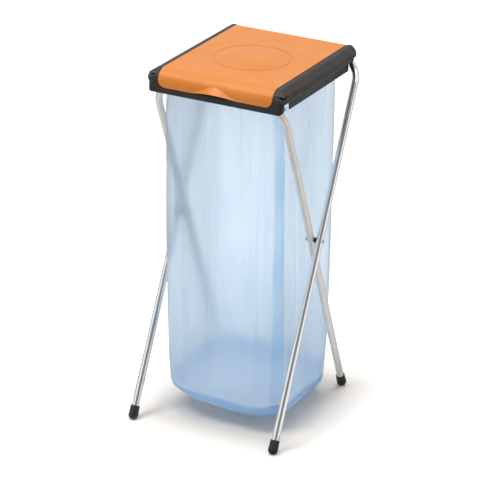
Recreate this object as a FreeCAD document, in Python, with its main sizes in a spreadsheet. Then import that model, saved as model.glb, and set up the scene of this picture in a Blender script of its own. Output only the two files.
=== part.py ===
import FreeCAD, Part
import math
import os
import Sketcher

# Folding stand for a rubbish bag, in millimetres: two crossed tube frames, a moulded
# ring that clips on their top bars, a hinged lid and the bag that hangs in the ring.
# X is to the right, Y to the back and Z up. The origin is on the floor between the feet.

SIZES = (
    ("tube_diameter", 18.0), ("tube_wall", 1.2), ("bar_height", 872.0),
    ("foot_reach", 220.0), ("pivot_back", 5.5), ("pivot_height", 472.0),
    ("outer_leg_x", 191.0), ("leg_gap", 5.5), ("outer_bend", 55.0), ("inner_bend", 80.0),
    ("rivet_diameter", 6.0), ("rivet_head", 10.5), ("rivet_head_height", 2.2),
    ("washer_diameter", 12.0), ("washer_height", 0.8), ("spacer_diameter", 12.0),
    ("play", 0.05), ("gap", 0.3),
    ("cap_diameter", 24.0), ("cap_length", 36.0), ("cap_top_diameter", 22.0),
    ("cap_sole_height", 11.2), ("cap_floor", 8.0),
    ("ring_drop", 27.5), ("ring_wall", 2.5), ("band_height", 14.0), ("front_skin", 1.1),
    ("lip_step", 2.9), ("deck_rise", 8.5), ("deck_end", 4.9), ("deck_round", 18.0),
    ("ring_tail", 17.0), ("ring_reach_down", 10.0),
    ("rail_gap", 18.0), ("rail_crest_out", 11.5), ("rail_width", 32.5), ("rail_rise", 9.5),
    ("rail_slope", 14.0), ("rail_depth", 28.0), ("rail_round", 14.0), ("rail_lip_round", 4.0),
    ("rail_front_round", 18.0), ("rail_back_round", 26.0), ("roll_round", 30.0),
    ("corner_roll", 22.0), ("corner_rise", 3.0),
    ("skirt_out", 19.0), ("skirt_clear", 7.1), ("skirt_end_drop", 9.5), ("skirt_end_in", 21.5),
    ("nose_depth", 12.6), ("nose_side", 7.0), ("nose_round", 9.5), ("nose_low_round", 9.0),
    ("notch_round", 20.5), ("notch_rise", 6.5), ("notch_side", 1.0),
    ("rim_inset", 10.5), ("mouth_edge_front", 30.7), ("mouth_edge_back", 33.5),
    ("mouth_round", 40.0), ("rim_wall", 2.0), ("rim_depth", 23.5),
    ("rear_clip_x", 100.0), ("rear_clip_width", 28.0), ("clip_wall", 2.2), ("clip_grip", 5.0),
    ("clip_play", 0.08), ("front_clip_x", 60.0), ("front_clip_width", 24.0),
    ("lid_side_gap", 1.2), ("lid_rise", 10.5), ("lid_wall", 2.4), ("lid_overhang", 9.0),
    ("lip_corner", 18.0), ("press_rib_out", 1.5), ("press_rib_wall", 2.0), ("press_clear", 0.4),
    ("medallion_radius", 93.0), ("medallion_y", 3.0), ("medallion_rise", 4.5),
    ("medallion_groove", 1.8), ("medallion_depth", 0.9),
    ("tab_half_width", 76.0), ("tab_rise", 24.0), ("tab_lift", 8.5), ("tab_reach", 11.5),
    ("hinge_shift", 0.4), ("hinge_rise", 1.5), ("ear_radius", 6.0), ("ear_width", 4.3),
    ("ear_room", 2.0), ("pin_diameter", 5.0), ("pin_seat", 4.5), ("boss_radius", 6.0),
    ("bag_wall", 1.5), ("bag_flange", 4.0), ("bag_floor", 45.0), ("bag_side_gap", 7.5),
    ("bag_depth_out", 4.0), ("bag_pleats", 12.0),
)


class Size:
    """A number together with the sheet formula that gives it."""

    def __init__(self, number, formula):
        self.number = float(number)
        self.formula = formula

    def __add__(self, other):
        other = as_size(other)
        return Size(self.number + other.number, f"({self.formula} + {other.formula})")

    def __sub__(self, other):
        other = as_size(other)
        return Size(self.number - other.number, f"({self.formula} - {other.formula})")

    def __mul__(self, other):
        other = as_size(other)
        return Size(self.number * other.number, f"({self.formula} * {other.formula})")

    def __truediv__(self, other):
        other = as_size(other)
        return Size(self.number / other.number, f"({self.formula} / {other.formula})")

    def __neg__(self):
        return Size(-self.number, f"(0 - {self.formula})")


def as_size(value):
    return value if isinstance(value, Size) else Size(value, str(value))


def slope_angle(run, rise):
    """The angle in degrees between the upright and a line with this run and rise."""
    formula = f"atan({run.formula} / {rise.formula})"
    return Size(math.degrees(math.atan(run.number / rise.number)), formula)


def cosine(angle):
    return Size(math.cos(math.radians(angle.number)), f"cos({angle.formula})")


class Sheet:
    """The driving sizes, kept in the document's spreadsheet and read by name."""

    def __init__(self, doc):
        table = doc.addObject("Spreadsheet::Sheet", "Sizes")
        for row, (name, number) in enumerate(SIZES, 1):
            table.set(f"A{row}", name)
            table.set(f"B{row}", str(number))
            table.setAlias(f"B{row}", name)
            setattr(self, name, Size(number, f"Sizes.{name}"))
        doc.recompute()


def bind(thing, field, size):
    """Tie one property of an object to the sheet."""
    thing.setExpression(field, as_size(size).formula)


def new_body(doc, label):
    body = doc.addObject("PartDesign::Body", label)
    body.Label = label
    return body


def new_sketch(body, name, role, offset=None):
    """A sketch on one of the body's own planes, moved along its normal by offset."""
    sketch = body.newObject("Sketcher::SketchObject", name)
    plane = next(part for part in body.Origin.OriginFeatures if part.Role == role)
    sketch.AttachmentSupport = [(plane, "")]
    sketch.MapMode = "FlatFace"
    if offset is not None:
        bind(sketch, "AttachmentOffset.Base.z", offset)
    return sketch


def constrain(sketch, kind, *places, size):
    index = sketch.addConstraint(Sketcher.Constraint(kind, *places, size.number))
    sketch.setExpression(f"Constraints[{index}]", size.formula)


def pin_point(sketch, edge, end, x, y):
    """Hold one end or centre of an edge at a place given by two sizes."""
    constrain(sketch, "DistanceX", -1, 1, edge, end, size=as_size(x))
    constrain(sketch, "DistanceY", -1, 1, edge, end, size=as_size(y))


def vector(x, y):
    return FreeCAD.Vector(as_size(x).number, as_size(y).number, 0)


def draw_outline(sketch, points):
    """Join the points with straight edges into a closed outline."""
    first = len(sketch.Geometry)
    count = len(points)
    for here, there in zip(points, points[1:] + points[:1]):
        sketch.addGeometry(Part.LineSegment(vector(*here), vector(*there)), False)
    for step, (x, y) in enumerate(points):
        sketch.addConstraint(
            Sketcher.Constraint("Coincident", first + step, 2, first + (step + 1) % count, 1)
        )
        pin_point(sketch, first + step, 1, x, y)


def draw_circle(sketch, x, y, radius):
    edge = sketch.addGeometry(Part.Circle(vector(x, y), FreeCAD.Vector(0, 0, 1), radius.number))
    pin_point(sketch, edge, 3, x, y)
    constrain(sketch, "Radius", edge, size=radius)


def draw_corner(sketch, corner_x, corner_y, radius, turn):
    """The waste piece between a square corner and its rounding. turn is the corner's quarter."""
    side_x = 1 if turn in (0, 3) else -1
    side_y = 1 if turn in (0, 1) else -1
    centre_x = corner_x - radius * side_x
    centre_y = corner_y - radius * side_y
    start = math.radians(90 * turn)
    circle = Part.Circle(vector(centre_x, centre_y), FreeCAD.Vector(0, 0, 1), radius.number)
    arc = sketch.addGeometry(Part.ArcOfCircle(circle, start, start + math.pi / 2))
    ends = [(corner_x, centre_y), (centre_x, corner_y)]
    if turn in (1, 3):
        ends.reverse()
    lines = [
        sketch.addGeometry(Part.LineSegment(vector(*ends[1]), vector(corner_x, corner_y))),
        sketch.addGeometry(Part.LineSegment(vector(corner_x, corner_y), vector(*ends[0]))),
    ]
    pin_point(sketch, arc, 3, centre_x, centre_y)
    pin_point(sketch, lines[0], 2, corner_x, corner_y)
    for first, end, second, start_end in (
        (arc, 2, lines[0], 1), (lines[0], 2, lines[1], 1), (lines[1], 2, arc, 1)
    ):
        sketch.addConstraint(Sketcher.Constraint("Coincident", first, end, second, start_end))
    constrain(sketch, "Radius", arc, size=radius)
    upright_end = 2 if turn in (1, 3) else 1
    constrain(sketch, "DistanceY", -1, 1, arc, upright_end, size=centre_y)
    constrain(sketch, "DistanceX", -1, 1, arc, 3 - upright_end, size=centre_x)


def pad(body, sketch, length, both_ways=False, reverse=False):
    feature = body.newObject("PartDesign::Pad", sketch.Name + "_pad")
    feature.Profile = sketch
    bind(feature, "Length", length)
    feature.SideType = "Symmetric" if both_ways else "One side"
    feature.Reversed = reverse
    return feature


def cut_through(body, sketch):
    """Cut the sketch right through the body, both ways, and see that it cut."""
    body.Document.recompute()
    before = body.Shape.Volume
    feature = body.newObject("PartDesign::Pocket", sketch.Name + "_cut")
    feature.Profile = sketch
    feature.Type = "ThroughAll"
    feature.SideType = "Symmetric"
    body.Document.recompute()
    if not body.Shape.Volume < before:
        raise RuntimeError(f"{feature.Name} cuts nothing")
    return feature


def edge_names(shape, along, **place):
    """Names of the straight edges along one axis that lie at the given coordinates."""
    names = []
    for number, edge in enumerate(shape.Edges, 1):
        ends = [vertex.Point for vertex in edge.Vertexes]
        if edge.Curve.TypeId != "Part::GeomLine" or len(ends) != 2:
            continue
        run = ends[1] - ends[0]
        if abs(getattr(run, along)) < run.Length - 1e-4:
            continue
        if all(abs(getattr(ends[0], axis) - spot.number) < 1e-3 for axis, spot in place.items()):
            names.append(f"Edge{number}")
    return names


def round_edges(body, name, radius, along, places):
    """Round the straight edges along one axis at each of the given places."""
    body.Document.recompute()
    base = body.Tip
    chosen = [edge for place in places for edge in edge_names(base.Shape, along, **place)]
    if not chosen:
        raise RuntimeError(f"{name} finds no edge")
    feature = body.newObject("PartDesign::Fillet", name)
    feature.Base = (base, chosen)
    bind(feature, "Radius", radius)
    body.Document.recompute()
    return feature


def turn_profile(body, sketch, axis="V_Axis"):
    feature = body.newObject("PartDesign::Revolution", sketch.Name + "_turned")
    feature.Profile = sketch
    feature.ReferenceAxis = (sketch, [axis])
    feature.Angle = 360
    return feature


def combine(doc, kind, label, *pieces):
    """A boolean of whole pieces: Part::Cut takes two, Part::MultiFuse takes any number."""
    result = doc.addObject(kind, label)
    if kind == "Part::MultiFuse":
        result.Shapes = list(pieces)
    else:
        result.Base, result.Tool = pieces
    result.Label = label
    return result


def place_bound(thing, x=None, y=None, z=None):
    for field, size in (("x", x), ("y", y), ("z", z)):
        if size is not None:
            bind(thing, f"Placement.Base.{field}", size)


def add_box(doc, name, low, size):
    """A box from its lowest corner and its three lengths."""
    box = doc.addObject("Part::Box", name)
    for field, length in zip(("Length", "Width", "Height"), size):
        bind(box, field, length)
    place_bound(box, *low)
    return box


def add_rod(doc, name, start, radius, length):
    """A round rod along X from its start point."""
    rod = doc.addObject("Part::Cylinder", name)
    bind(rod, "Radius", radius)
    bind(rod, "Height", length)
    rod.Placement.Rotation = FreeCAD.Rotation(FreeCAD.Vector(0, 1, 0), 90)
    place_bound(rod, *start)
    return rod


def derive(v):
    """Places worked out from the sheet, so that what fits or lines up moves together."""
    v.tube_radius = v.tube_diameter / 2
    v.inner_leg_x = v.outer_leg_x - v.tube_diameter - v.leg_gap
    v.outer_tilt = slope_angle(v.foot_reach + v.pivot_back, v.pivot_height)
    v.inner_tilt = slope_angle(v.foot_reach - v.pivot_back, v.pivot_height)
    v.rear_bar_y = (v.foot_reach + v.pivot_back) * v.bar_height / v.pivot_height - v.foot_reach
    v.front_bar_y = v.foot_reach - (v.foot_reach - v.pivot_back) * v.bar_height / v.pivot_height
    derive_heights(v)
    derive_widths(v)
    derive_depths(v)


def derive_heights(v):
    v.deck_top = v.bar_height + v.tube_radius + v.deck_rise
    v.rail_top = v.deck_top + v.rail_rise
    v.rail_shoulder = v.rail_top - v.rail_slope
    v.rail_low = v.rail_top - v.rail_depth
    v.lid_top = v.deck_top + v.lid_rise
    v.ring_bottom = v.bar_height - v.ring_drop
    v.step_height = v.ring_bottom + v.band_height
    v.lip_bottom = v.step_height + v.gap * 2
    v.notch_height = v.ring_bottom + v.notch_rise
    v.skirt_end_height = v.deck_top - v.skirt_end_drop
    v.rim_bottom = v.deck_top - v.rim_depth
    v.hinge_height = v.deck_top + v.hinge_rise
    v.press_height = v.deck_top + v.gap + v.bag_wall + v.press_clear
    v.bag_top = v.rim_bottom - v.bag_wall


def derive_widths(v):
    v.rail_inner = v.inner_leg_x - v.rail_gap
    v.rail_crest = v.rail_inner + v.rail_crest_out
    v.rail_outer = v.rail_inner + v.rail_width
    v.skirt_x = v.rail_inner + v.skirt_out
    v.skirt_end_x = v.rail_inner - v.skirt_end_in
    v.nose_x = v.rail_outer - v.nose_side
    v.mouth_x = v.rail_inner - v.rim_inset
    v.lid_half_width = v.rail_inner - v.lid_side_gap
    v.bag_half_width = v.inner_leg_x - v.tube_radius - v.bag_side_gap


def derive_depths(v):
    v.step_front = v.tube_radius + v.gap + v.front_skin - v.front_bar_y
    v.ring_front = v.step_front + v.lip_step
    v.nose_back = v.ring_front - v.nose_depth
    v.notch_y = v.nose_back - v.notch_side - v.notch_round
    v.mouth_front = v.step_front - v.mouth_edge_front
    v.deck_back = v.rear_bar_y + v.deck_end
    v.mouth_back = v.deck_back - v.mouth_edge_back
    v.ring_back = v.rear_bar_y + v.ring_tail
    v.skirt_end = v.rear_bar_y - v.tube_radius - v.skirt_clear
    v.hinge_back = v.rear_bar_y + v.hinge_shift
    v.lid_back = v.hinge_back + v.lid_overhang
    v.bag_half_depth = (v.mouth_front + v.mouth_back) / 2 + v.bag_depth_out


def frame_parts(v, inner):
    """Leg place, bend, tilt, foot place and tilting axis of one of the two tube frames."""
    if inner:
        return v.inner_leg_x, v.inner_bend, v.inner_tilt, v.foot_reach, FreeCAD.Vector(1, 0, 0)
    return v.outer_leg_x, v.outer_bend, v.outer_tilt, -v.foot_reach, FreeCAD.Vector(-1, 0, 0)


def lean(thing, angle, axis, foot_y):
    """Stand a piece that was drawn upright at its foot, leaning about X."""
    thing.Placement.Rotation = FreeCAD.Rotation(axis, angle.number)
    bind(thing, "Placement.Rotation.Angle", angle)
    place_bound(thing, y=foot_y)


def make_tube(doc, v, label, inner):
    """One U of bent tube: two legs, two bends and the top bar, drilled for the rivets."""
    leg_x, bend, tilt, foot_y, axis = frame_parts(v, inner)
    body = new_body(doc, label)
    length = v.bar_height / cosine(tilt)
    start = v.cap_floor
    path = new_sketch(body, label + "_path", "XZ_Plane")
    shoulder = leg_x - bend
    low_bend = length - bend
    path.addGeometry(Part.LineSegment(vector(leg_x, start), vector(leg_x, low_bend)))
    right = Part.Circle(vector(shoulder, low_bend), FreeCAD.Vector(0, 0, 1), bend.number)
    path.addGeometry(Part.ArcOfCircle(right, 0, math.pi / 2))
    path.addGeometry(Part.LineSegment(vector(shoulder, length), vector(-shoulder, length)))
    left = Part.Circle(vector(-shoulder, low_bend), FreeCAD.Vector(0, 0, 1), bend.number)
    path.addGeometry(Part.ArcOfCircle(left, math.pi / 2, math.pi))
    path.addGeometry(Part.LineSegment(vector(-leg_x, low_bend), vector(-leg_x, start)))
    for edge, end, x, y in (
        (0, 1, leg_x, start), (0, 2, leg_x, low_bend), (2, 1, shoulder, length),
        (2, 2, -shoulder, length), (4, 1, -leg_x, low_bend), (4, 2, -leg_x, start),
    ):
        pin_point(path, edge, end, x, y)
    for edge, x in ((1, shoulder), (3, -shoulder)):
        constrain(path, "DistanceX", -1, 1, edge, 3, size=x)
    for first, end, second, other in ((0, 2, 1, 1), (1, 2, 2, 1), (2, 2, 3, 1), (3, 2, 4, 1)):
        path.addConstraint(Sketcher.Constraint("Coincident", first, end, second, other))
    section = new_sketch(body, label + "_section", "XY_Plane", start)
    draw_circle(section, leg_x, 0, v.tube_radius)
    draw_circle(section, leg_x, 0, v.tube_radius - v.tube_wall)
    doc.recompute()
    pipe = body.newObject("PartDesign::AdditivePipe", label + "_pipe")
    pipe.Profile = section
    pipe.Spine = path
    doc.recompute()
    holes = new_sketch(body, label + "_holes", "YZ_Plane")
    draw_circle(holes, 0, v.pivot_height / cosine(tilt), v.rivet_diameter / 2 + v.play)
    cut_through(body, holes)
    lean(body, tilt, axis, foot_y)
    return body


def make_cap(doc, v, label, side, inner):
    """A rubber foot cap over a tube end, with a flat worn by the floor at its lowest point."""
    leg_x, _, tilt, foot_y, axis = frame_parts(v, inner)
    radius = v.cap_diameter / 2
    turned = new_body(doc, label + "_turned")
    sketch = new_sketch(turned, label + "_profile", "XZ_Plane")
    bore = v.tube_radius + v.play
    outline = (
        (0, v.cap_floor), (bore, v.cap_floor), (bore, v.cap_length), (v.cap_top_diameter / 2, v.cap_length),
        (radius, v.cap_sole_height), (radius, -v.cap_sole_height), (0, -v.cap_sole_height),
    )
    draw_outline(sketch, list(outline))
    turn_profile(turned, sketch)
    doc.recompute()
    ball = doc.addObject("Part::Sphere", label + "_ball")
    bind(ball, "Radius", radius)
    place_bound(ball, z=v.cap_sole_height / cosine(tilt))
    shaft = doc.addObject("Part::Cylinder", label + "_shaft")
    bind(shaft, "Radius", radius)
    bind(shaft, "Height", v.cap_length)
    place_bound(shaft, z=v.cap_sole_height / cosine(tilt))
    form = combine(doc, "Part::MultiFuse", label + "_form", ball, shaft)
    capsule = combine(doc, "Part::Common", label + "_capsule", turned, form)
    lean(capsule, tilt, axis, foot_y)
    place_bound(capsule, x=leg_x * side)
    floor = add_box(
        doc, label + "_floor",
        (leg_x * side - v.cap_diameter, foot_y - v.cap_diameter, -v.cap_diameter),
        (v.cap_diameter * 2, v.cap_diameter * 2, v.cap_diameter),
    )
    return combine(doc, "Part::Cut", label, capsule, floor)


def make_turned_x(doc, v, label, side, outline):
    """A piece turned about the pivot axis. The outline gives places along X and radii."""
    body = new_body(doc, label)
    sketch = new_sketch(body, label + "_profile", "XZ_Plane")
    draw_outline(sketch, [(x * side, radius) for x, radius in outline])
    turn_profile(body, sketch, "H_Axis")
    place_bound(body, y=v.pivot_back, z=v.pivot_height)
    return body


def make_pivot(doc, v, side_name, side):
    """Rivet, spacer and washer of one pivot. The rivet is tight in the outer tube."""
    rod = v.rivet_diameter / 2
    head = v.rivet_head / 2
    outer_face = v.outer_leg_x + v.tube_radius
    inner_face = v.inner_leg_x - v.tube_radius
    washer_out = inner_face - v.gap
    washer_in = washer_out - v.washer_height
    set_end = washer_in - v.gap
    dome = v.rivet_head_height
    outline = (
        (set_end - dome, 0), (set_end - dome, rod), (set_end - dome / 2, head), (set_end, head),
        (set_end, rod), (outer_face, rod), (outer_face, head), (outer_face + dome / 2, head * 0.86),
        (outer_face + dome, rod), (outer_face + dome, 0),
    )
    rivet = make_turned_x(doc, v, "rivet_" + side_name, side, outline)
    washer = (
        (washer_in, rod + v.play), (washer_out, rod + v.play),
        (washer_out, v.washer_diameter / 2), (washer_in, v.washer_diameter / 2),
    )
    washer = make_turned_x(doc, v, "washer_" + side_name, side, washer)
    plug = (
        (inner_face + v.tube_diameter + v.gap, rod + v.play), (v.outer_leg_x, rod + v.play),
        (v.outer_leg_x, v.spacer_diameter / 2),
        (inner_face + v.tube_diameter + v.gap, v.spacer_diameter / 2),
    )
    plug = make_turned_x(doc, v, "spacer_plug_" + side_name, side, plug)
    saddle = doc.addObject("Part::Cylinder", "saddle_" + side_name)
    bind(saddle, "Radius", v.tube_radius + v.play)
    bind(saddle, "Height", v.bar_height)
    lean(saddle, v.outer_tilt, FreeCAD.Vector(-1, 0, 0), -v.foot_reach)
    place_bound(saddle, x=v.outer_leg_x * side)
    spacer = combine(doc, "Part::Cut", "spacer_" + side_name, plug, saddle)
    return [rivet, washer, spacer]


def slab(doc, label, outline, front, back):
    """A piece drawn in the front view and run from front to back."""
    body = new_body(doc, label)
    sketch = new_sketch(body, label + "_section", "XZ_Plane", -back)
    draw_outline(sketch, outline)
    pad(body, sketch, back - front)
    return body


def both_sides(x, **place):
    """The same place on the right and on the left."""
    return [{"x": x, **place}, {"x": -x, **place}]


def ring_block(doc, v, label, inset):
    """The ring's outer form, smaller by inset all round and open downwards when inset."""
    half = v.rail_inner + inset
    top = v.rail_top - inset
    outer = v.rail_outer - inset
    low = v.rail_low + inset
    skirt = v.skirt_x - inset
    bottom = v.ring_bottom - inset * 3
    front = v.ring_front - inset
    back = v.ring_back - inset
    shoulder = v.rail_shoulder - inset * 0.5
    crest = v.rail_crest - inset * 0.4
    side = [(skirt, bottom), (skirt, low), (outer, low), (outer, shoulder), (crest, top)]
    body = slab(doc, label, side + [(-x, z) for x, z in reversed(side)], -front, back)
    round_edges(body, label + "_shoulder", v.rail_round - inset, "y", both_sides(outer, z=shoulder))
    round_edges(body, label + "_crest", v.rail_round - inset, "y", both_sides(crest, z=top))
    round_edges(body, label + "_lip", v.rail_lip_round - inset, "y", both_sides(outer, z=low))
    roll = new_sketch(body, label + "_roll", "YZ_Plane")
    draw_corner(roll, -front, top, v.roll_round - inset, 1)
    cut_through(body, roll)
    nose_x = v.nose_x - inset
    turn = v.nose_low_round - inset
    low_corner = [(nose_x - turn, bottom), (nose_x - turn * 0.3, bottom + turn * 0.3), (nose_x, bottom + turn)]
    nose_side = low_corner + [(nose_x, low + 1)]
    nose = slab(
        doc, label + "_nose", nose_side + [(-x, z) for x, z in reversed(nose_side)],
        -front, -v.nose_back - inset,
    )
    round_edges(nose, label + "_nose_edge", v.nose_round - inset, "z", both_sides(nose_x, y=-front))
    nosed = combine(doc, "Part::MultiFuse", label + "_nosed", body, nose)
    plan = new_body(doc, label + "_plan")
    sketch = new_sketch(plan, label + "_plan_outline", "XY_Plane", bottom)
    draw_outline(sketch, [(-outer, -front), (outer, -front), (outer, back), (-outer, back)])
    pad(plan, sketch, top - bottom)
    for name, y, radius in (
        ("_front_corners", -front, v.rail_front_round), ("_back_corners", back, v.rail_back_round)
    ):
        round_edges(plan, label + name, radius - inset, "z", both_sides(outer, y=y))
    rounded = combine(doc, "Part::Common", label + "_square", nosed, plan)
    corners = [corner_waste(doc, v, label, side, inset) for side in (-1, 1)]
    corners = combine(doc, "Part::MultiFuse", label + "_corners", *corners)
    rounded = combine(doc, "Part::Cut", label + "_rounded", rounded, corners)
    step = v.step_height - inset
    recess = slab(
        doc, label + "_recess", [(-half, step), (half, step), (half, v.lid_top), (-half, v.lid_top)],
        -v.ring_back * 2, v.ring_back * 2,
    )
    round_edges(recess, label + "_recess_corner", v.lip_corner + inset, "y", both_sides(half, z=step))
    open_top = combine(doc, "Part::Cut", label + "_open_top", rounded, recess)
    deck = v.deck_top - inset
    centre = slab(
        doc, label + "_centre", [(-half, bottom), (half, bottom), (half, deck), (-half, deck)],
        inset - v.step_front, back,
    )
    round_edges(centre, label + "_deck_round", v.deck_round - inset, "x", [{"y": inset - v.step_front, "z": deck}])
    return combine(doc, "Part::MultiFuse", label + "_form", open_top, centre)


def corner_waste(doc, v, label, side, inset):
    """What rounds the shoulder of a rail over its front corner, seen along the diagonal."""
    waste = new_body(doc, f"{label}_corner_{side + 1}")
    sketch = new_sketch(waste, f"{label}_corner_roll_{side + 1}", "YZ_Plane")
    turn = v.rail_front_round
    reach = (v.rail_outer + v.ring_front - turn * 2) * math.sqrt(0.5) + turn - inset
    draw_corner(sketch, -reach - 0.5, v.rail_shoulder + v.corner_rise - inset, v.corner_roll - inset, 1)
    pad(waste, sketch, v.rail_width * 3, both_ways=True)
    waste.Placement.Rotation = FreeCAD.Rotation(FreeCAD.Vector(0, 0, 1), 45 * side)
    return waste


def mouth_block(doc, v, label, grow, bottom, top):
    """A rounded block as wide as the ring's mouth, larger by grow all round."""
    body = new_body(doc, label)
    sketch = new_sketch(body, label + "_outline", "XY_Plane", bottom)
    x, front, back = v.mouth_x + grow, v.mouth_front + grow, v.mouth_back + grow
    draw_outline(sketch, [(-x, -front), (x, -front), (x, back), (-x, back)])
    pad(body, sketch, top - bottom)
    corners = [{"x": a, "y": b} for a in (-x, x) for b in (-front, back)]
    round_edges(body, label + "_corners", v.mouth_round + grow, "z", corners)
    return body


def make_ring(doc, v):
    """The moulded ring: rails, front band, deck, rim, tube clips and lid bosses."""
    outer = ring_block(doc, v, "ring_outer", as_size(0.0))
    inner = ring_block(doc, v, "ring_inner", v.ring_wall)
    shell = combine(doc, "Part::Cut", "ring_shell", outer, inner)
    deck_low = v.deck_top - v.ring_wall
    added = [shell, mouth_block(doc, v, "ring_rim", v.rim_wall, v.rim_bottom, v.deck_top)]
    tube = v.tube_radius
    clip = tube + v.clip_play + v.clip_wall
    for side in (-1, 1):
        added.append(add_box(
            doc, f"rear_clip_{side + 1}",
            (v.rear_clip_x * side - v.rear_clip_width / 2, v.rear_bar_y - clip, v.bar_height),
            (v.rear_clip_width, v.deck_back - v.rear_bar_y + clip, deck_low - v.bar_height + 1),
        ))
        added.append(add_rod(
            doc, f"rear_clip_eye_{side + 1}",
            (v.rear_clip_x * side - v.rear_clip_width / 2, v.rear_bar_y, v.bar_height),
            clip, v.rear_clip_width,
        ))
        added.append(add_box(
            doc, f"front_clip_{side + 1}",
            (v.front_clip_x * side - v.front_clip_width / 2, -v.step_front + v.ring_wall * 0.5, v.bar_height),
            (v.front_clip_width, v.step_front - v.mouth_front - v.rim_wall, deck_low - v.bar_height + 1),
        ))
        boss_start = v.rail_inner * side + (0.5 if side > 0 else -0.5)
        if side < 0:
            boss_start = boss_start - v.pin_seat - 1.5
        added.append(add_rod(
            doc, f"pin_boss_{side + 1}", (boss_start, v.hinge_back, v.hinge_height),
            v.boss_radius, v.pin_seat + 1.5,
        ))
    body = combine(doc, "Part::Common", "ring_body", combine(doc, "Part::MultiFuse", "ring_sum", *added), outer)
    wide = v.rail_outer * 2
    removed = [
        mouth_block(doc, v, "ring_mouth", as_size(0.0), v.rim_bottom - v.ring_reach_down, v.lid_top),
        add_box(doc, "deck_end", (-v.rail_inner, v.deck_back, v.ring_bottom - v.ring_reach_down),
                (v.rail_inner * 2, v.ring_back, v.lid_top - v.ring_bottom)),
        add_rod(doc, "rear_bar_room", (-v.skirt_end_x, v.rear_bar_y, v.bar_height),
                tube + v.clip_play, v.skirt_end_x * 2),
        add_rod(doc, "front_bar_room", (-v.skirt_end_x, v.front_bar_y, v.bar_height),
                tube + v.gap, v.skirt_end_x * 2),
        add_box(doc, "clip_mouth", (-v.skirt_end_x, v.rear_bar_y - clip * 1.5, v.bar_height - clip * 2),
                (v.skirt_end_x * 2, clip * 3, clip * 2 - v.clip_grip)),
    ]
    for side in (-1, 1):
        removed.append(add_box(
            doc, f"skirt_end_{side + 1}",
            (v.skirt_end_x if side > 0 else -wide, v.skirt_end, v.ring_bottom - v.ring_reach_down),
            (wide - v.skirt_end_x, v.ring_back, v.skirt_end_height - v.ring_bottom + v.ring_reach_down),
        ))
        removed.append(add_box(
            doc, f"ear_slot_{side + 1}",
            (v.rail_inner - v.ear_width - 3 if side > 0 else -v.rail_inner,
             v.hinge_back - v.ear_radius - v.ear_room, v.hinge_height - v.ear_radius * 2),
            (v.ear_width + 3, v.ear_radius * 2 + v.ear_room * 4, v.ear_radius * 2),
        ))
        removed.append(add_rod(
            doc, f"pin_hole_{side + 1}",
            (v.rail_inner - 1 if side > 0 else -v.rail_inner - v.pin_seat, v.hinge_back, v.hinge_height),
            v.pin_diameter / 2 + v.play, v.pin_seat + 1,
        ))
        notch_start = v.mouth_x + v.rim_wall * 2 if side > 0 else -v.rail_outer
        notch_length = v.rail_outer - v.mouth_x - v.rim_wall * 2
        removed.append(add_rod(
            doc, f"notch_arch_{side + 1}", (notch_start, -v.notch_y, v.notch_height),
            v.notch_round, notch_length,
        ))
        removed.append(add_box(
            doc, f"notch_foot_{side + 1}",
            (notch_start, -v.notch_y - v.notch_round, v.ring_bottom - v.ring_reach_down),
            (notch_length, v.notch_round * 2, v.notch_height - v.ring_bottom + v.ring_reach_down),
        ))
    waste = combine(doc, "Part::MultiFuse", "ring_waste", *removed)
    return combine(doc, "Part::Cut", "top_ring", body, waste)


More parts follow.
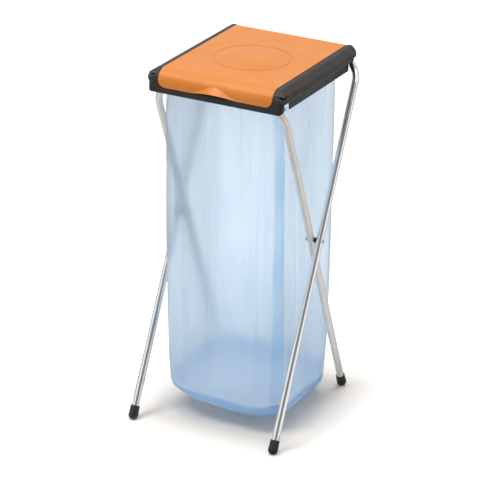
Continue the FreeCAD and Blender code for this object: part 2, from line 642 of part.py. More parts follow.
def make_lid(doc, v):
    """The lid: a plate that rolls over into a front lip, with a finger scoop and hinge ears."""
    plate = new_body(doc, "lid_plate")
    sketch = new_sketch(plate, "lid_section", "YZ_Plane")
    front, top, wall = v.ring_front, v.lid_top, v.lid_wall
    draw_outline(sketch, [
        (v.lid_back, top), (-front, top), (-front, v.lip_bottom), (-front + wall, v.lip_bottom),
        (-front + wall, top - wall), (v.lid_back, top - wall),
    ])
    pad(plate, sketch, v.lid_half_width * 2, both_ways=True)
    round_edges(plate, "lid_roll", v.roll_round, "x", [{"y": -front, "z": top}])
    round_edges(plate, "lid_roll_inside", v.roll_round - wall, "x", [{"y": -front + wall, "z": top - wall}])
    half = v.lid_half_width
    low = [{"x": half, "z": v.lip_bottom}, {"x": -half, "z": v.lip_bottom}]
    round_edges(plate, "lip_corners", v.lip_corner, "y", low)
    groove = new_body(doc, "lid_groove")
    sketch = new_sketch(groove, "lid_groove_section", "XZ_Plane")
    inner = v.medallion_radius - v.medallion_groove
    draw_outline(sketch, [
        (inner, top - v.medallion_depth), (v.medallion_radius, top - v.medallion_depth),
        (v.medallion_radius, top + 1), (inner - 1, top + 1),
    ])
    turn_profile(groove, sketch)
    place_bound(groove, y=v.medallion_y)
    dome = doc.addObject("Part::Sphere", "lid_dome_ball")
    dome_radius = (inner * inner + v.medallion_rise * v.medallion_rise) / (v.medallion_rise * 2)
    bind(dome, "Radius", dome_radius)
    place_bound(dome, y=v.medallion_y, z=top + v.medallion_rise - dome_radius)
    disc = doc.addObject("Part::Cylinder", "lid_dome_disc")
    bind(disc, "Radius", inner)
    bind(disc, "Height", v.medallion_rise * 2)
    place_bound(disc, y=v.medallion_y, z=top - 1)
    dome = combine(doc, "Part::Common", "lid_dome", dome, disc)
    grooved = combine(doc, "Part::Cut", "lid_grooved", plate, groove)
    rib = v.press_rib_out
    rib_outer = mouth_block(doc, v, "lid_rib_outer", rib + v.press_rib_wall, v.press_height, top - wall)
    rib_inner = mouth_block(doc, v, "lid_rib_inner", rib, v.press_height - 1, top)
    rib = combine(doc, "Part::Cut", "lid_rib", rib_outer, rib_inner)
    pieces = [grooved, dome, rib, make_tab(doc, v, "lid_tab", False)]
    for side in (-1, 1):
        start = half - v.ear_width if side > 0 else -half
        pieces.append(add_box(
            doc, f"lid_ear_block_{side + 1}", (start, v.hinge_back - v.ear_radius, v.hinge_height),
            (v.ear_width, v.ear_radius * 2, top - wall - v.hinge_height + 1),
        ))
        pieces.append(add_rod(
            doc, f"lid_ear_{side + 1}", (start, v.hinge_back, v.hinge_height), v.ear_radius, v.ear_width,
        ))
    whole = combine(doc, "Part::MultiFuse", "lid_whole", *pieces)
    holes = add_rod(doc, "lid_pin_room", (-half - 1, v.hinge_back, v.hinge_height),
                    v.pin_diameter / 2 + v.play, half * 2 + 2)
    waste = combine(doc, "Part::MultiFuse", "lid_waste", holes, make_tab(doc, v, "lid_tab_room", True))
    return combine(doc, "Part::Cut", "lid", whole, waste)


def make_tab(doc, v, label, room):
    """The finger tab, an awning that flares out of the lip, or the room under it."""
    tab = doc.addObject("Part::Feature", label)
    half, reach, wall = v.tab_half_width.number, v.tab_reach.number, v.lid_wall.number
    rise, lift, front, low = v.tab_rise.number, v.tab_lift.number, -v.ring_front.number, v.lip_bottom.number
    steps = 12
    wires = []
    for step in range(steps + 1):
        x = half * (2 * step / steps - 1)
        bump = max(0.02, math.cos(math.pi * x / (2 * half)) ** 2)
        edge = low + lift * bump
        if room:
            crest = low + (rise - 1.7 * wall) * bump
            places = [
                (front + wall + 3, crest), (front + wall - reach * bump, edge),
                (front + wall - reach * bump, low - 3), (front + wall + 3, low - 3),
            ]
        else:
            root = front + wall * 0.4
            places = [
                (root + wall * bump, low + rise * bump), (front + 0.2 - reach * bump, edge), (root, edge),
            ]
        spots = [FreeCAD.Vector(x, y, z) for y, z in places]
        wires.append(Part.makePolygon(spots + spots[:1]))
    tab.Shape = Part.makeLoft(wires, True, False)
    return tab


def make_lid_pin(doc, v, label, side):
    """A hinge pin, tight in the ring's boss and running in the lid's ear."""
    pin = new_body(doc, label)
    start = v.lid_half_width - v.ear_width - 0.5
    end = v.rail_inner + v.pin_seat - 0.5
    sketch = new_sketch(pin, label + "_section", "YZ_Plane", start if side > 0 else -end)
    draw_circle(sketch, v.hinge_back, v.hinge_height, v.pin_diameter / 2)
    pad(pin, sketch, end - start)
    return pin


def bag_section(v, height, inset):
    """The bag's closed outline at one height, drawn in by inset."""
    top = v.bag_top.number
    drop = max(0.0, top - height)
    length = top - v.bag_floor.number
    down = min(1, drop / (0.85 * length))
    flare = 1 - math.exp(-drop / 16)
    low = max(0.0, 1 - (height - v.bag_floor.number) / 25)
    sag = max(0.0, 1 - (height - v.bag_floor.number) / 110)
    start_x = v.mouth_x.number - v.gap.number
    half_x = start_x + (v.bag_half_width.number - start_x) * flare + 4 * down + 7 * sag - 20 * low * low
    start_y = (v.mouth_back.number + v.mouth_front.number) / 2 - v.gap.number
    half_y = start_y + (v.bag_half_depth.number - start_y) * flare + 6 * down - 20 * low * low
    centre_y = (v.mouth_back.number - v.mouth_front.number) / 2 * (1 - flare) + 20 * down
    corner = v.mouth_round.number * (1 - 0.3 * flare) + 32 * down * down
    depth = 2.2 * flare * min(1, drop / 120) * (1 - 0.6 * low)
    pleats = int(v.bag_pleats.number)
    points = []
    steps = pleats * 7
    perimeter = 4 * (half_x + half_y - 2 * corner) + 2 * math.pi * corner
    for step in range(steps):
        x, y, normal = rounded_point(half_x, half_y, corner, perimeter * step / steps)
        turn = 2 * math.pi * step / steps
        wave = depth * math.cos(pleats * turn + 1.3 * math.sin(2 * turn + drop / 260))
        shift = wave - inset
        x += shift * normal[0]
        y += shift * normal[1] + centre_y
        points.append(FreeCAD.Vector(x, y, height - 13 * sag * x / half_x))
    return points


def rounded_point(half_x, half_y, corner, way):
    """The point that lies so far round a rounded rectangle, and its outward normal."""
    runs = (half_y - corner, math.pi * corner / 2, 2 * (half_x - corner), math.pi * corner / 2,
            2 * (half_y - corner), math.pi * corner / 2, 2 * (half_x - corner), math.pi * corner / 2,
            half_y - corner)
    centre_x, centre_y = half_x - corner, half_y - corner
    corners = ((centre_x, centre_y), (-centre_x, centre_y), (-centre_x, -centre_y), (centre_x, -centre_y))
    for number, run in enumerate(runs):
        if way <= run or number == len(runs) - 1:
            break
        way -= run
    quarter = number // 2 % 4
    if number % 2:
        turn = math.radians(90 * quarter) + way / corner
        normal = (math.cos(turn), math.sin(turn))
        spot = corners[quarter]
        return spot[0] + corner * normal[0], spot[1] + corner * normal[1], normal
    normal = ((1, 0), (0, 1), (-1, 0), (0, -1))[quarter]
    along = (-normal[1], normal[0])
    if number == 0:
        start = (half_x, 0)
    else:
        spot = corners[quarter - 1]
        start = (spot[0] + corner * normal[0], spot[1] + corner * normal[1])
    return start[0] + way * along[0], start[1] + way * along[1], normal


def strip(low, high):
    """Flat triangles between two rings of points."""
    faces = []
    count = len(low)
    for here in range(count):
        there = (here + 1) % count
        faces.append(Part.Face(Part.makePolygon([low[here], low[there], high[there], low[here]])))
        faces.append(Part.Face(Part.makePolygon([low[here], high[there], high[here], low[here]])))
    return faces


def make_bag(doc, v):
    """The film bag: a pleated hollow with a rounded floor, its mouth folded over the deck."""
    bag = doc.addObject("Part::Feature", "trash_bag")
    bag.Label = "trash_bag"
    wall = v.bag_wall.number
    floor = v.bag_floor.number
    mouth = v.bag_top.number
    flange = v.deck_top.number + v.gap.number
    heights = [floor + rise for rise in (0, 2, 6, 13, 25, 60)]
    heights += [floor + (mouth - floor) * share for share in (0.15, 0.27, 0.4, 0.53, 0.66, 0.78, 0.87)]
    heights += [mouth - drop for drop in (60, 28, 12, 0)]
    outer = [bag_section(v, height, 0) for height in heights]
    inner = [bag_section(v, height, wall) for height in heights]
    for point in inner[0]:
        point.z += wall
    for point in inner[1]:
        point.z += wall / 2
    lift = FreeCAD.Vector(0, 0, flange - mouth)
    top = FreeCAD.Vector(0, 0, flange + wall - mouth)
    edge = bag_section(v, mouth, -v.bag_flange.number)
    outer += [[point + lift for point in outer[-1]]]
    outer += [[point + lift for point in edge], [point + top for point in edge]]
    inner += [[point + top for point in inner[-1]]]
    rings = outer + inner[::-1]
    faces = [Part.Face(Part.makePolygon(ring + ring[:1])) for ring in (outer[0], inner[0])]
    for low, high in zip(rings, rings[1:]):
        faces += strip(low, high)
    shell = Part.Shell(faces)
    solid = Part.Solid(shell)
    if solid.Volume < 0:
        solid.reverse()
    bag.Shape = solid
    return bag


def check(doc, parts):
    """Stop if any object failed or any piece has no sound solid."""
    for thing in doc.Objects:
        if "Invalid" in thing.State or "Error" in thing.State:
            raise RuntimeError(f"{thing.Label} failed: {thing.State}")
    for part in parts:
        if part.Shape.isNull() or not part.Shape.isValid() or part.Shape.Volume <= 0:
            raise RuntimeError(f"{part.Label} has no sound solid")
        if len(part.Shape.Solids) != 1:
            raise RuntimeError(f"{part.Label} is in {len(part.Shape.Solids)} solids")


def build():
    doc = FreeCAD.newDocument("stand")
    v = Sheet(doc)
    derive(v)
    parts = [
        make_tube(doc, v, "outer_tube", inner=False),
        make_tube(doc, v, "inner_tube", inner=True),
    ]
    for side_name, side in (("left", -1), ("right", 1)):
        parts.append(make_cap(doc, v, "front_foot_" + side_name, side, inner=False))
        parts.append(make_cap(doc, v, "rear_foot_" + side_name, side, inner=True))
        parts += make_pivot(doc, v, side_name, side)
        parts.append(make_lid_pin(doc, v, "lid_pin_" + side_name, side))
    parts.append(make_ring(doc, v))
    parts.append(make_lid(doc, v))
    parts.append(make_bag(doc, v))
    doc.recompute()
    check(doc, parts)
    os.makedirs("parts", exist_ok=True)
    for part in parts:
        part.Shape.exportStep(f"parts/{part.Label}.step")
    print(f"{len(parts)} pieces written")


build()
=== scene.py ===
import bpy
import math
import numpy as np
from mathutils import Matrix, Vector

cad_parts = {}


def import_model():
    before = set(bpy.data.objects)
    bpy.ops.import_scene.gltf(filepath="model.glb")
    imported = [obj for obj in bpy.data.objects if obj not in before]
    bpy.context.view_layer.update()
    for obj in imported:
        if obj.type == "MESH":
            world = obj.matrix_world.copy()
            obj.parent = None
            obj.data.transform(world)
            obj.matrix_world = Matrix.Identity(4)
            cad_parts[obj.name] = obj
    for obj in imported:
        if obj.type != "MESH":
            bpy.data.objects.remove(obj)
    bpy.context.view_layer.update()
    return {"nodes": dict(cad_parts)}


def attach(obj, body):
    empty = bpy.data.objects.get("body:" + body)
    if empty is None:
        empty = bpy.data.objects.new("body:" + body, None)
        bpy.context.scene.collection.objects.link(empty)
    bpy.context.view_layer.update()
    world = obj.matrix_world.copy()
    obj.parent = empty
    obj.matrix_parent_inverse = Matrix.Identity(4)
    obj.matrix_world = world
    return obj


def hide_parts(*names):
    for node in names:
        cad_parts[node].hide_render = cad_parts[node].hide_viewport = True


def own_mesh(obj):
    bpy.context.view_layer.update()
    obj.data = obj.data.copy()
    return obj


# places of the bag, in metres: the rim's opening, the deck round it, and the film below
RIM_HALF_X, RIM_HALF_Y, RIM_ROUND, RIM_BACK = 0.1387, 0.1617, 0.040, 0.006
DECK = 0.8899
FILM_TOP, FILM_FLOOR = 0.8645, 0.0455
FLOOR_TILT = 0.013

# the film's mesh: points in each ring, and rings in the gathered band above the floor
AROUND = 600
BAND_RINGS = 18


# camera

def place_camera():
    """The photograph's viewpoint, from the front right and above."""
    azimuth, elevation, roll = (math.radians(angle) for angle in (26.59, 22.59, 1.49))
    middle, distance, shift_right, shift_down = Vector((0, 0, 0.45)), 6.739, 0.0064, 0.0368
    back = Vector((
        math.sin(azimuth) * math.cos(elevation),
        -math.cos(azimuth) * math.cos(elevation),
        math.sin(elevation),
    ))
    right = Vector((math.cos(azimuth), math.sin(azimuth), 0))
    up = back.cross(right)
    across = right * math.cos(roll) + up * math.sin(roll)
    upward = up * math.cos(roll) - right * math.sin(roll)
    place = middle + back * distance + across * shift_right - upward * shift_down
    data = bpy.data.cameras.new("camera")
    data.lens = 200.7
    data.sensor_width = 36
    data.clip_end = 60
    camera = bpy.data.objects.new("camera", data)
    camera.matrix_world = Matrix((
        (across.x, upward.x, back.x, place.x),
        (across.y, upward.y, back.y, place.y),
        (across.z, upward.z, back.z, place.z),
        (0, 0, 0, 1),
    ))
    bpy.context.scene.collection.objects.link(camera)
    bpy.context.scene.camera = camera


# shader helpers

class Shader:
    """The node tree of a material or the world, with short ways to add and join nodes."""

    def __init__(self, name, world=False):
        self.owner = (bpy.data.worlds if world else bpy.data.materials).new(name)
        self.owner.use_nodes = True
        self.tree = self.owner.node_tree
        self.tree.nodes.clear()
        self.output = self.tree.nodes.new("ShaderNodeOutput" + ("World" if world else "Material"))

    def node(self, kind, values=None, **settings):
        made = self.tree.nodes.new("ShaderNode" + kind)
        for key, value in settings.items():
            setattr(made, key, value)
        for key, value in (values or {}).items():
            socket = made.inputs[key]
            if hasattr(value, "is_output"):
                self.tree.links.new(value, socket)
            else:
                socket.default_value = value
        return made

    def coords(self, scale=(1, 1, 1)):
        place = self.node("TexCoord").outputs["Object"]
        return self.node("Mapping", {"Vector": place, "Scale": scale}).outputs["Vector"]

    def noise(self, size, detail=3, stretch=(1, 1, 1), rough=0.5, distort=0.0):
        values = {
            "Vector": self.coords(stretch), "Scale": 1 / size, "Detail": detail,
            "Roughness": rough, "Distortion": distort,
        }
        return self.node("TexNoise", values).outputs["Fac"]

    def ramp(self, value, *stops):
        node = self.node("ValToRGB", {"Fac": value})
        elements = node.color_ramp.elements
        while len(elements) < len(stops):
            elements.new(0.5)
        for element, (place, shade) in zip(elements, stops):
            element.position = place
            element.color = shade if len(shade) == 4 else (*shade, 1)
        return node.outputs["Color"]

    def math(self, operation, first, second=0.0, third=0.0, clamp=False):
        values = {0: first, 1: second, 2: third}
        return self.node("Math", values, operation=operation, use_clamp=clamp).outputs["Value"]

    def vector(self, operation, first, second=(0, 0, 0)):
        return self.node("VectorMath", {0: first, 1: second}, operation=operation).outputs["Vector"]

    def mix(self, share, first, second):
        return self.node("MixShader", {0: share, 1: first, 2: second}).outputs["Shader"]

    def span(self, value, low, high, new_low=0.0, new_high=1.0):
        values = {"Value": value, "From Min": low, "From Max": high, "To Min": new_low, "To Max": new_high}
        return self.node("MapRange", values).outputs["Result"]

    def blend(self, share, first, second):
        """A colour between two, each a socket or three numbers."""
        node = self.node("Mix", data_type="RGBA")
        for name, kind, value in (("Factor", "VALUE", share), ("A", "RGBA", first), ("B", "RGBA", second)):
            socket = next(place for place in node.inputs if place.name == name and place.type == kind)
            if hasattr(value, "is_output"):
                self.tree.links.new(value, socket)
            else:
                socket.default_value = (*value, 1) if kind == "RGBA" else value
        return next(place for place in node.outputs if place.type == "RGBA")

    def bump(self, height, strength, distance, normal=None):
        values = {"Height": height, "Strength": strength, "Distance": distance}
        if normal is not None:
            values["Normal"] = normal
        return self.node("Bump", values).outputs["Normal"]

    def finish(self, surface):
        self.tree.links.new(surface, self.output.inputs["Surface"])
        return self.owner


def lid_material():
    s = Shader("orange_plastic")
    tone = s.noise(0.09, 2)
    colour = s.ramp(tone, (0.3, (0.64, 0.198, 0.020)), (0.7, (0.68, 0.222, 0.028)))
    grain = s.noise(0.0009, 4, rough=0.6)
    rough = s.span(s.noise(0.03, 3), 0.3, 0.7, 0.38, 0.47)
    surface = s.node("BsdfPrincipled", {
        "Base Color": colour, "Roughness": rough, "Normal": s.bump(grain, 0.18, 0.0004),
        "Specular IOR Level": 0.42, "Subsurface Weight": 0.04,
        "Subsurface Radius": (0.004, 0.0015, 0.0005), "Coat Weight": 0.06, "Coat Roughness": 0.3,
    })
    return s.finish(surface.outputs["BSDF"])


def ring_material():
    s = Shader("dark_plastic")
    colour = s.ramp(s.noise(0.05, 3), (0.3, (0.017, 0.0148, 0.0125)), (0.7, (0.024, 0.021, 0.018)))
    grain = s.noise(0.0007, 4, rough=0.65)
    rough = s.span(s.noise(0.02, 3), 0.3, 0.7, 0.42, 0.52)
    surface = s.node("BsdfPrincipled", {
        "Base Color": colour, "Roughness": rough, "Normal": s.bump(grain, 0.3, 0.0004),
        "Specular IOR Level": 0.34,
    })
    return s.finish(surface.outputs["BSDF"])


def rubber_material():
    s = Shader("black_rubber")
    colour = s.ramp(s.noise(0.01, 3), (0.3, (0.010, 0.010, 0.010)), (0.7, (0.017, 0.017, 0.017)))
    normal = s.bump(s.noise(0.0008, 3), 0.3, 0.0004)
    surface = s.node("BsdfPrincipled", {"Base Color": colour, "Roughness": 0.5, "Normal": normal})
    return s.finish(surface.outputs["BSDF"])


def chrome_material():
    s = Shader("chrome_tube")
    rough = s.span(s.noise(0.02, 3), 0.3, 0.7, 0.06, 0.12)
    colour = s.ramp(s.noise(0.03, 2), (0.3, (0.83, 0.83, 0.83)), (0.7, (0.89, 0.885, 0.88)))
    surface = s.node("BsdfPrincipled", {"Base Color": colour, "Metallic": 1.0, "Roughness": rough})
    return s.finish(surface.outputs["BSDF"])


def cream_material():
    s = Shader("satin_tube")
    tone = s.ramp(s.noise(0.05, 3), (0.3, (0.78, 0.765, 0.725)), (0.7, (0.82, 0.805, 0.765)))
    peel = s.noise(0.0015, 3)
    surface = s.node("BsdfPrincipled", {
        "Base Color": tone, "Metallic": 0.25, "Roughness": s.span(peel, 0.3, 0.7, 0.24, 0.30),
        "Normal": s.bump(peel, 0.06, 0.0002), "Coat Weight": 0.3, "Coat Roughness": 0.12,
    })
    return s.finish(surface.outputs["BSDF"])


def steel_material():
    s = Shader("rivet_steel")
    draw = s.noise(0.0012, 3, stretch=(0.2, 1, 1))
    surface = s.node("BsdfPrincipled", {
        "Base Color": (0.55, 0.55, 0.55, 1), "Metallic": 1.0, "Roughness": s.span(draw, 0.3, 0.7, 0.25, 0.4),
        "Normal": s.bump(draw, 0.2, 0.0002),
    })
    return s.finish(surface.outputs["BSDF"])


def fold_lines(s, size, reach, stretch):
    """Thin lines that wander down the film, where a stretched noise crosses its middle."""
    away = s.math("ABSOLUTE", s.math("SUBTRACT", s.noise(size, 0.6, stretch=(1, 1, stretch)), 0.5))
    return s.span(away, 0.0, reach, 1.0, 0.0)


def film_material(name, *, body, pale, deep, tint, gather, back_light, shade):
    """Thin blue film. It lets light through a tint, partly blurred, and shows a pale body of its own.

    body is how much of the film is its own colour, pale and deep are that colour in one layer and
    in many, gather adds crumples, back_light is the body's share of light from behind, and shade
    is how much the film shades what is under it.
    """
    s = Shader(name)
    long_folds = fold_lines(s, 0.050, 0.012, 0.05)
    fine_folds = fold_lines(s, 0.016, 0.022, 0.014)
    waves = s.noise(0.045, 1.5, stretch=(1, 1, 0.022))
    patches = s.span(s.noise(0.11, 1.5, stretch=(1, 1, 0.4), distort=0.6), 0.3, 0.7, -0.10, 0.10)
    crumple = s.noise(0.018, 6, rough=0.62, distort=1.0)
    # painted glints: a sparse noise mask that whitens the film near its floor, standing in for highlights on
    # the crumples
    painted_glints = s.span(s.noise(0.022, 5, stretch=(1, 1, 2.2), rough=0.6, distort=1.6), 0.63, 0.70)
    height = s.node("SeparateXYZ", {"Vector": s.node("TexCoord").outputs["Object"]}).outputs["Z"]
    low = s.span(height, 0.13, 0.05)
    sink = s.span(height, 0.34, 0.07)
    layers = s.node("Attribute", attribute_name="layers").outputs["Fac"]
    shadow = s.node("LightPath").outputs["Is Shadow Ray"]

    normal = s.bump(waves, 0.22, 0.005)
    normal = s.bump(long_folds, 0.32, 0.0010, normal)
    normal = s.bump(fine_folds, 0.20, 0.0005, normal)
    normal = s.bump(s.math("MULTIPLY", crumple, s.math("ADD", low, gather)), 0.6, 0.006, normal)

    streak = s.span(waves, 0.35, 0.65, -0.05, 0.05)
    dense = s.math("ADD", s.math("ADD", streak, patches), body)
    for part, share in ((long_folds, 0.07), (fine_folds, 0.04), (sink, 0.50), (layers, 0.08)):
        dense = s.math("ADD", dense, s.math("MULTIPLY", part, share), clamp=True)
    if shade:
        dense = s.math("MAXIMUM", dense, s.math("MULTIPLY", shadow, shade))

    depth = s.math("MAXIMUM", s.math("MULTIPLY", low, 0.5), layers)
    # the film's colour: deeper where it is gathered or many layers thick, with painted white glints near the
    # floor
    colour = s.blend(s.math("MULTIPLY", painted_glints, low), s.blend(depth, pale, deep), (1, 1, 1))
    through = s.node("BsdfTranslucent", {"Color": colour, "Normal": normal})
    face = s.node("BsdfDiffuse", {"Color": colour, "Normal": normal})
    solid = s.mix(back_light, face.outputs[0], through.outputs[0])

    lines = s.math("MULTIPLY_ADD", fine_folds, 0.20, s.math("MULTIPLY", long_folds, 0.42))
    lines = s.math("ADD", lines, s.math("ADD", streak, s.math("MULTIPLY", patches, 0.8)))
    stain = s.blend(s.math("ADD", layers, lines, clamp=True), tint, (0.46, 0.64, 0.83))
    clear = s.node("BsdfTransparent", {"Color": s.blend(shadow, stain, (0.78, 0.78, 0.78))})
    haze = s.node("BsdfRefraction", {"Color": stain, "Roughness": 1.0, "IOR": 1.075})
    hazy = s.math("MULTIPLY", s.math("SUBTRACT", 1.0, shadow), 0.88)
    film = s.mix(dense, s.mix(hazy, clear.outputs[0], haze.outputs[0]), solid)

    slant = s.node("LayerWeight", {"Blend": 0.5, "Normal": normal}).outputs["Facing"]
    shine = s.math("MULTIPLY_ADD", s.math("POWER", slant, 5), 0.5, 0.02)
    sheen = s.node("BsdfGlossy", {"Color": (1, 1, 1, 1), "Roughness": 0.12, "Normal": normal})
    return s.finish(s.mix(shine, film, sheen.outputs[0]))


# the bag

def rounded_outline(half_x, half_y, corner, shares):
    """Points and outward normals at shares of the way round a rounded rectangle."""
    corner = min(corner, 0.98 * min(half_x, half_y))
    quarter = math.pi * corner / 2
    flat_x, flat_y = 2 * (half_x - corner), 2 * (half_y - corner)
    runs = [flat_y / 2, quarter, flat_x, quarter, flat_y, quarter, flat_x, quarter, flat_y / 2]
    ends = np.cumsum([0.0] + runs)
    way = (shares % 1) * ends[-1]
    points, normals = np.zeros((len(way), 2)), np.zeros((len(way), 2))
    centre_x, centre_y = half_x - corner, half_y - corner
    corners = [(centre_x, centre_y), (-centre_x, centre_y), (-centre_x, -centre_y), (centre_x, -centre_y)]
    for number in range(9):
        chosen = (way >= ends[number]) & (way <= ends[number + 1])
        along = way[chosen] - ends[number]
        turn = math.radians(90 * (number // 2 % 4))
        if number % 2:
            angle = turn + along / corner
            normal = np.stack([np.cos(angle), np.sin(angle)], 1)
            points[chosen] = np.array(corners[number // 2]) + corner * normal
        else:
            normal = np.tile([round(math.cos(turn)), round(math.sin(turn))], (len(along), 1)).astype(float)
            tangent = np.array([-round(math.sin(turn)), round(math.cos(turn))], float)
            spot = corners[number // 2 - 1] if number else (half_x, 0.0)
            start = np.array(spot) + (corner * normal[0] if number and len(along) else 0)
            points[chosen] = start + along[:, None] * tangent
        normals[chosen] = normal
    return points, normals


def bag_shape(height):
    """The film at one height: half sizes, corner and centre, and its shares of flare, floor and sag."""
    drop = max(0.0, FILM_TOP - height)
    down = min(1, drop / (0.85 * (FILM_TOP - FILM_FLOOR)))
    flare = 1 - math.exp(-drop / 0.016)
    low = max(0.0, 1 - (height - FILM_FLOOR) / 0.025)
    sag = max(0.0, 1 - (height - FILM_FLOOR) / 0.110)
    half_x = RIM_HALF_X + 0.0123 * flare + 0.004 * down + 0.007 * sag - 0.020 * low * low
    half_y = RIM_HALF_Y + 0.0043 * flare + 0.006 * down - 0.020 * low * low
    centre_y = RIM_BACK * (1 - flare) + 0.020 * down
    corner = RIM_ROUND * (1 - 0.3 * flare) + 0.032 * down * down + 0.045 * sag
    return half_x, half_y, corner, centre_y, flare, low, sag


def smooth_noise(rng, size, cells):
    """A smooth random curve, the same at both ends, sampled at size places."""
    values = rng.uniform(-1, 1, cells)
    place = np.arange(size) / size * cells
    index = place.astype(int)
    share = place - index
    share = share * share * (3 - 2 * share)
    return values[index % cells] * (1 - share) + values[(index + 1) % cells] * share


def draw_creases(rng):
    """Long hanging folds, and shorter slanted ones that pull down from the rim."""
    creases = []
    hanging, pulling = 48, 16
    for number in range(hanging + pulling):
        slanted = number >= hanging
        creases.append({
            "place": rng.uniform(0, 1), "wide": rng.uniform(0.0016, 0.007),
            "lean": rng.choice([-1, 1]) * rng.uniform(0.12, 0.30) if slanted else rng.normal(0, 0.02),
            "deep": rng.uniform(0.0012, 0.0034) * rng.choice([-1, 1]),
            "top": rng.uniform(0.94, 1.0) if slanted else rng.uniform(0.5, 1.0),
            "end": rng.uniform(0.62, 0.84) if slanted else rng.uniform(-0.1, 0.4),
        })
    return creases


def crease_push(creases, shares, level):
    """How far the folds move the film in or out at one level, from 0 at the floor to 1 at the top."""
    push = np.zeros(len(shares))
    for crease in creases:
        length = crease["top"] + 0.04 - crease["end"]
        span = (level - crease["end"]) / length
        if 0 < span < 1:
            away = (shares - crease["place"] - crease["lean"] * (1 - level) + 0.5) % 1 - 0.5
            push += crease["deep"] * min(1, 5 * span, 5 * (1 - span)) * np.exp(-np.abs(away / crease["wide"]))
    return push


def tuck(points, centre_y, height):
    """How much the film is doubled in the tuck behind the front right corner."""
    y = points[:, 1] + centre_y
    middle = -0.113 - 0.042 * (height - 0.13)
    inside = np.clip((0.020 - np.abs(y - middle)) / 0.007, 0, 1) * (0.85 + 0.15 * math.sin(31 * height))
    return inside * (points[:, 0] > 0.10) * min(1, max(0, (0.845 - height) / 0.03))


def join_rings(faces, first, second, flipped=False):
    """Quads between two rings of points, each given by its first point's number."""
    for step in range(AROUND):
        ahead = (step + 1) % AROUND
        if flipped:
            faces.append((first + step, first + ahead, second + ahead, second + step))
        else:
            faces.append((first + step, second + step, second + ahead, first + ahead))


def hang_walls(rng, shares, vertices):
    """The film from the rim down to its floor. Gives how many layers thick each point is."""
    heights = np.concatenate([
        np.linspace(FILM_TOP, 0.80, 20, endpoint=False),
        np.linspace(0.80, 0.11, 98, endpoint=False),
        np.linspace(0.11, FILM_FLOOR, 32),
    ])
    creases = draw_creases(rng)
    broad = smooth_noise(rng, AROUND, 14) * 0.6 + smooth_noise(rng, AROUND, 34) * 0.4
    layers = []
    for row, height in enumerate(heights):
        half_x, half_y, corner, centre_y, flare, low, sag = bag_shape(height)
        points, normals = rounded_outline(half_x, half_y, corner, shares)
        level = (height - FILM_FLOOR) / (FILM_TOP - FILM_FLOOR)
        push = broad * 0.0024 * flare * (1 - 0.5 * low) + crease_push(creases, shares, level) * flare
        folded = tuck(points, centre_y, height)
        points = points + normals * (push + 0.0012 * folded)[:, None]
        gathered = min(0.9, (row - len(heights) + BAND_RINGS + 3) / 7)
        for (x, y), thick in zip(points, folded):
            y += centre_y
            if x > 0.1:
                x += 0.036 * math.exp(-((y + 0.155) / 0.011) ** 2 - ((height - 0.851) / 0.013) ** 2)
            vertices.append((x, y, height - FLOOR_TILT * sag * x / half_x))
            layers.append(max(thick, gathered))
    return layers


def fold_over_deck(rng, shares, vertices, faces):
    """The film's mouth, up through the rim and laid out on the deck with a rippled edge."""
    last = 0
    for rise, grow in ((-0.002, 0.0), (0.0, 0.0006), (0.0008, 0.0025), (0.0006, 0.0046)):
        points, normals = rounded_outline(RIM_HALF_X, RIM_HALF_Y, RIM_ROUND, shares)
        ripple = smooth_noise(rng, AROUND, 90) * 0.0006 * (grow > 0.002)
        points = points + normals * (grow + ripple)[:, None] if grow else points
        base = len(vertices)
        vertices += [(x, y + RIM_BACK, DECK + rise) for x, y in points]
        join_rings(faces, last, base, flipped=True)
        last = base


def close_floor(rng, vertices, faces, last):
    """The floor of the bag: wrinkled rings that shrink to its middle."""
    edge = np.array(vertices[last:last + AROUND])
    middle = np.array([edge[:, 0].mean(), edge[:, 1].mean(), FILM_FLOOR + 0.001])
    for share in (0.85, 0.65, 0.45, 0.25, 0.1):
        base = len(vertices)
        ring = middle + (edge - middle) * share
        ring[:, 2] += 0.0012 * smooth_noise(rng, AROUND, 24)
        vertices += [tuple(point) for point in ring]
        join_rings(faces, last, base)
        last = base
    centre = len(vertices)
    vertices.append(tuple(middle))
    for step in range(AROUND):
        faces.append((last + step, centre, last + (step + 1) % AROUND))


def make_bag():
    """The film bag: folded over the deck, down through the rim and hanging in long folds."""
    rng = np.random.default_rng(7)
    shares = np.arange(AROUND) / AROUND
    vertices, faces = [], []
    layers = hang_walls(rng, shares, vertices)
    rings = len(vertices) // AROUND
    for ring in range(rings - 1):
        join_rings(faces, ring * AROUND, (ring + 1) * AROUND)
    wall_end = len(faces)
    fold_over_deck(rng, shares, vertices, faces)
    floor_start = len(faces)
    close_floor(rng, vertices, faces, (rings - 1) * AROUND)

    mesh = bpy.data.meshes.new("film_bag")
    mesh.from_pydata(vertices, [], faces)
    mesh.update()
    fold = mesh.attributes.new("layers", "FLOAT", "POINT")
    fold.data.foreach_set("value", layers + [0.0] * (len(vertices) - len(layers)))
    mesh.materials.append(film_material(
        "blue_film", body=0.20, pale=(0.80, 0.91, 1.0), deep=(0.60, 0.81, 1.0),
        tint=(0.765, 0.853, 0.935), gather=0.0, back_light=0.5, shade=0.0,
    ))
    mesh.materials.append(film_material(
        "blue_film_base", body=0.90, pale=(0.86, 0.95, 1.0), deep=(0.28, 0.53, 0.90),
        tint=(0.55, 0.70, 0.86), gather=0.6, back_light=0.2, shade=0.95,
    ))
    band_start = wall_end - BAND_RINGS * AROUND
    for number, polygon in enumerate(mesh.polygons):
        polygon.use_smooth = True
        polygon.material_index = int(band_start <= number < wall_end or number >= floor_start)
    bag = bpy.data.objects.new("film_bag", mesh)
    bpy.context.scene.collection.objects.link(bag)
    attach(bag, "ring")
    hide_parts("trash_bag")
    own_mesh(bag)


# surroundings

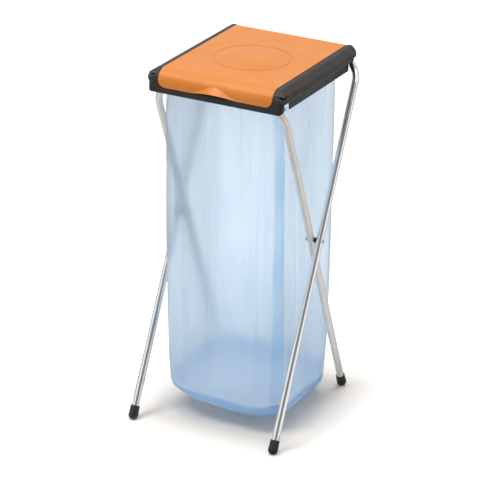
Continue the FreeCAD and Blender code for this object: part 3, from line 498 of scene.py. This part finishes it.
def studio_cards(s, place):
    """How bright the studio looks to a mirror, by compass direction: pale with a few dark cards."""
    stops = (
        (0.0, 0.24), (0.03, 0.95), (0.19, 0.95), (0.215, 0.35), (0.25, 0.35), (0.28, 0.90),
        (0.58, 0.90), (0.605, 0.35), (0.64, 0.35), (0.665, 0.95), (0.80, 0.95), (0.83, 0.24), (1.0, 0.24),
    )
    split = s.node("SeparateXYZ", {"Vector": place})
    turn = s.math("ARCTAN2", split.outputs["X"], split.outputs["Y"])
    compass = s.math("MULTIPLY_ADD", turn, 1 / (2 * math.pi), 0.5)
    return s.ramp(compass, *((share, (shade, shade, shade)) for share, shade in stops))


def ray_kinds(s):
    """Whether a ray looks at the stage, straight or through film, and whether it comes off a mirror."""
    paths = s.node("LightPath")
    glossy = paths.outputs["Is Glossy Ray"]
    through = s.math("MULTIPLY", glossy, paths.outputs["Is Transmission Ray"])
    looking = s.math("MAXIMUM", paths.outputs["Is Camera Ray"], through)
    return looking, s.math("SUBTRACT", glossy, through)


def make_floor():
    """A pale floor. Away from the bag it glows for the camera, so that it stays white into the distance."""
    mesh = bpy.data.meshes.new("floor")
    mesh.from_pydata([(-30, -30, 0), (30, -30, 0), (30, 30, 0), (-30, 30, 0)], [], [(0, 1, 2, 3)])
    floor = bpy.data.objects.new("floor", mesh)
    bpy.context.scene.collection.objects.link(floor)
    s = Shader("pale_floor")
    looking, mirrored = ray_kinds(s)
    place = s.node("TexCoord").outputs["Object"]
    beside = s.vector("ABSOLUTE", s.vector("SUBTRACT", place, (0, 0.02, 0)))
    beside = s.vector("MAXIMUM", s.vector("SUBTRACT", beside, (0.15, 0.17, 0)))
    away = s.node("VectorMath", {0: beside}, operation="LENGTH").outputs["Value"]
    strength = s.math("MULTIPLY", looking, s.span(away, 0.01, 0.22, 0.0, 0.60))
    glow = s.node("Emission", {"Color": (1, 1, 1, 1), "Strength": strength})
    lit = s.node("BsdfDiffuse", {"Color": (0.90, 0.845, 0.785, 1)})
    both = s.node("AddShader", {0: lit.outputs[0], 1: glow.outputs[0]})
    cards = s.node("Emission", {"Color": studio_cards(s, place), "Strength": 1.0})
    floor.data.materials.append(s.finish(s.mix(mirrored, both.outputs[0], cards.outputs[0])))


def make_world():
    """Even light all round, white to the camera, and cards for what mirrors it."""
    s = Shader("studio", world=True)
    looking, mirrored = ray_kinds(s)
    ambient = s.node("Background", {"Color": (1.0, 0.99, 0.98, 1), "Strength": 0.31})
    cards = studio_cards(s, s.node("TexCoord").outputs["Generated"])
    mirror = s.node("Background", {"Color": cards, "Strength": 1.0})
    plain = s.node("Background", {"Color": (1, 1, 1, 1), "Strength": 1.0})
    lit = s.mix(mirrored, ambient.outputs[0], mirror.outputs[0])
    bpy.context.scene.world = s.finish(s.mix(looking, lit, plain.outputs[0]))


def add_light(name, place, target, width, power):
    """A square lamp at a place, turned to a target."""
    data = bpy.data.lights.new(name, "AREA")
    data.shape = "RECTANGLE"
    data.size = data.size_y = width
    data.energy = power
    lamp = bpy.data.objects.new(name, data)
    lamp.location = place
    lamp.rotation_euler = (Vector(target) - Vector(place)).to_track_quat("-Z", "Y").to_euler()
    bpy.context.scene.collection.objects.link(lamp)


def dress(frame):
    """Give every piece of the construction its finish."""
    rubber, steel = rubber_material(), steel_material()
    finishes = {
        "outer_tube": chrome_material(), "inner_tube": cream_material(),
        "top_ring": ring_material(), "lid": lid_material(),
    }
    for name, piece in frame["nodes"].items():
        if name == "trash_bag":
            continue
        small = rubber if "foot" in name or name.startswith("spacer") else steel
        piece.data.materials.clear()
        piece.data.materials.append(finishes.get(name, small))


def main():
    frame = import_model()
    place_camera()
    dress(frame)
    make_bag()
    make_floor()
    make_world()
    add_light("key", (-1.8, -2.6, 5.4), (0, 0, 0.4), 2.2, 125)
    add_light("fill", (2.8, -2.4, 4.0), (0, 0, 0.5), 2.5, 38)
    add_light("top", (-0.3, 0.3, 7.0), (0, 0, 0.5), 3.2, 235)
    scene = bpy.context.scene
    scene.view_settings.view_transform = "Standard"
    scene.cycles.use_denoising = True
    scene.cycles.max_bounces = 16
    scene.cycles.transparent_max_bounces = 32


main()
